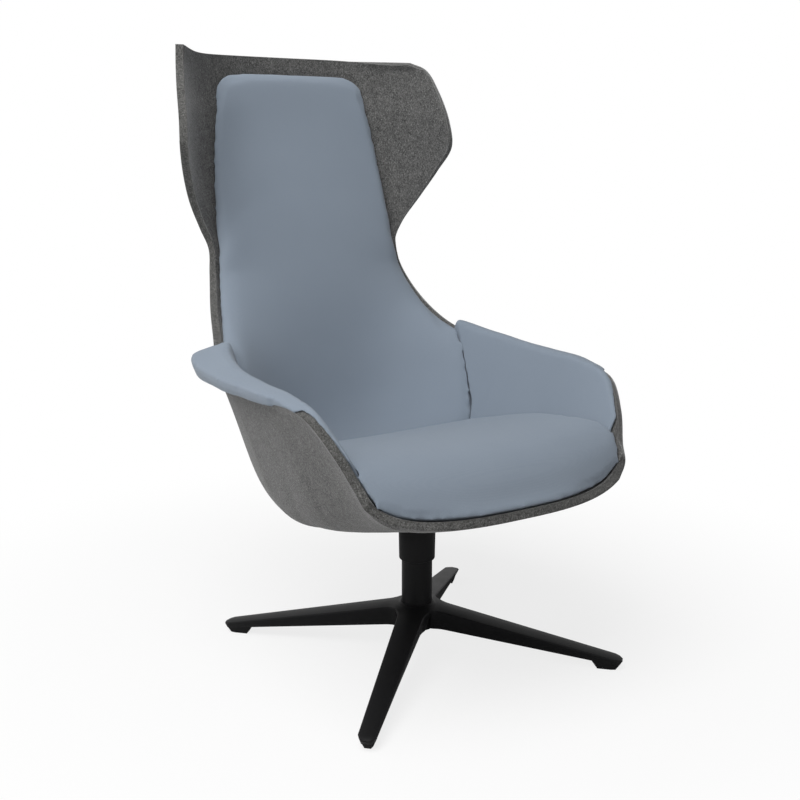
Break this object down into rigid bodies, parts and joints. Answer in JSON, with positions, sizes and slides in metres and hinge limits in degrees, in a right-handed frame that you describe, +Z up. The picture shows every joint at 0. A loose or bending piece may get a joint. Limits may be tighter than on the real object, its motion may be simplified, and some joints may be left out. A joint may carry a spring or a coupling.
{
  "type": "acoustic high back lounge chair",
  "caption": "High back lounge chair: moulded felt shell with head wings and arms, lined with upholstered pads, swivelling on a cast star base.",
  "frame": {"origin": "on the floor, under the centre of the chair's overall box; the column's axis is 0.112 m in front of it", "axes": "+X to the sitter's left, +Y to the back of the chair, so the sitter faces -Y, +Z up"},
  "size_m": [0.699, 0.868, 1.1344],
  "materials": {
    "felt": "moulded mottled dark grey felt",
    "upholstery": "plain fine woven blue-grey cloth over foam",
    "casting": "cast aluminium, satin black powder coat",
    "column": "steel tube, satin black powder coat",
    "black_plastic": "moulded matte black nylon",
    "steel": "turned steel",
    "plywood": "moulded beech plywood",
    "bearing_plastic": "natural acetal"
  },
  "bodies": {
    "base": {"star_base": "casting", "column_tube": "column", "upper_bush": "bearing_plastic", "lower_bush": "bearing_plastic", "thrust_washer_lower": "steel", "glide_1": "black_plastic", "glide_2": "black_plastic", "glide_3": "black_plastic", "glide_4": "black_plastic"},
    "bearing_cage": {"ball_cage": "bearing_plastic", "bearing_ball_1": "steel", "bearing_ball_2": "steel", "bearing_ball_3": "steel", "bearing_ball_4": "steel", "bearing_ball_5": "steel", "bearing_ball_6": "steel", "bearing_ball_7": "steel", "bearing_ball_8": "steel"},
    "seat": {"spindle": "steel", "retaining_washer": "steel", "retaining_clip": "steel", "thrust_washer_upper": "steel", "collar_cover": "black_plastic", "seat_bracket": "casting", "seat_screw_1": "steel", "seat_screw_2": "steel", "seat_screw_3": "steel", "seat_screw_4": "steel", "felt_shell": "felt", "seat_board": "plywood", "back_board": "plywood", "arm_board_right": "plywood", "arm_board_left": "plywood", "arm_pad_right": "upholstery", "arm_pad_left": "upholstery", "back_pad": "upholstery", "seat_cushion": "upholstery"}
  },
  "joints": [
    {"name": "seat_swivel", "type": "hinge", "parent": "base", "child": "seat", "pos_m": [0, -0.112, 0.15], "axis": [0, 0, 1], "continuous": true},
    {"name": "bearing_cage_roll", "type": "hinge", "parent": "base", "child": "bearing_cage", "pos_m": [0, -0.112, 0.2368], "axis": [0, 0, 1], "continuous": true}
  ],
  "couplings": [
    {"joint": "bearing_cage_roll", "follows": "seat_swivel", "ratio": 0.5}
  ]
}
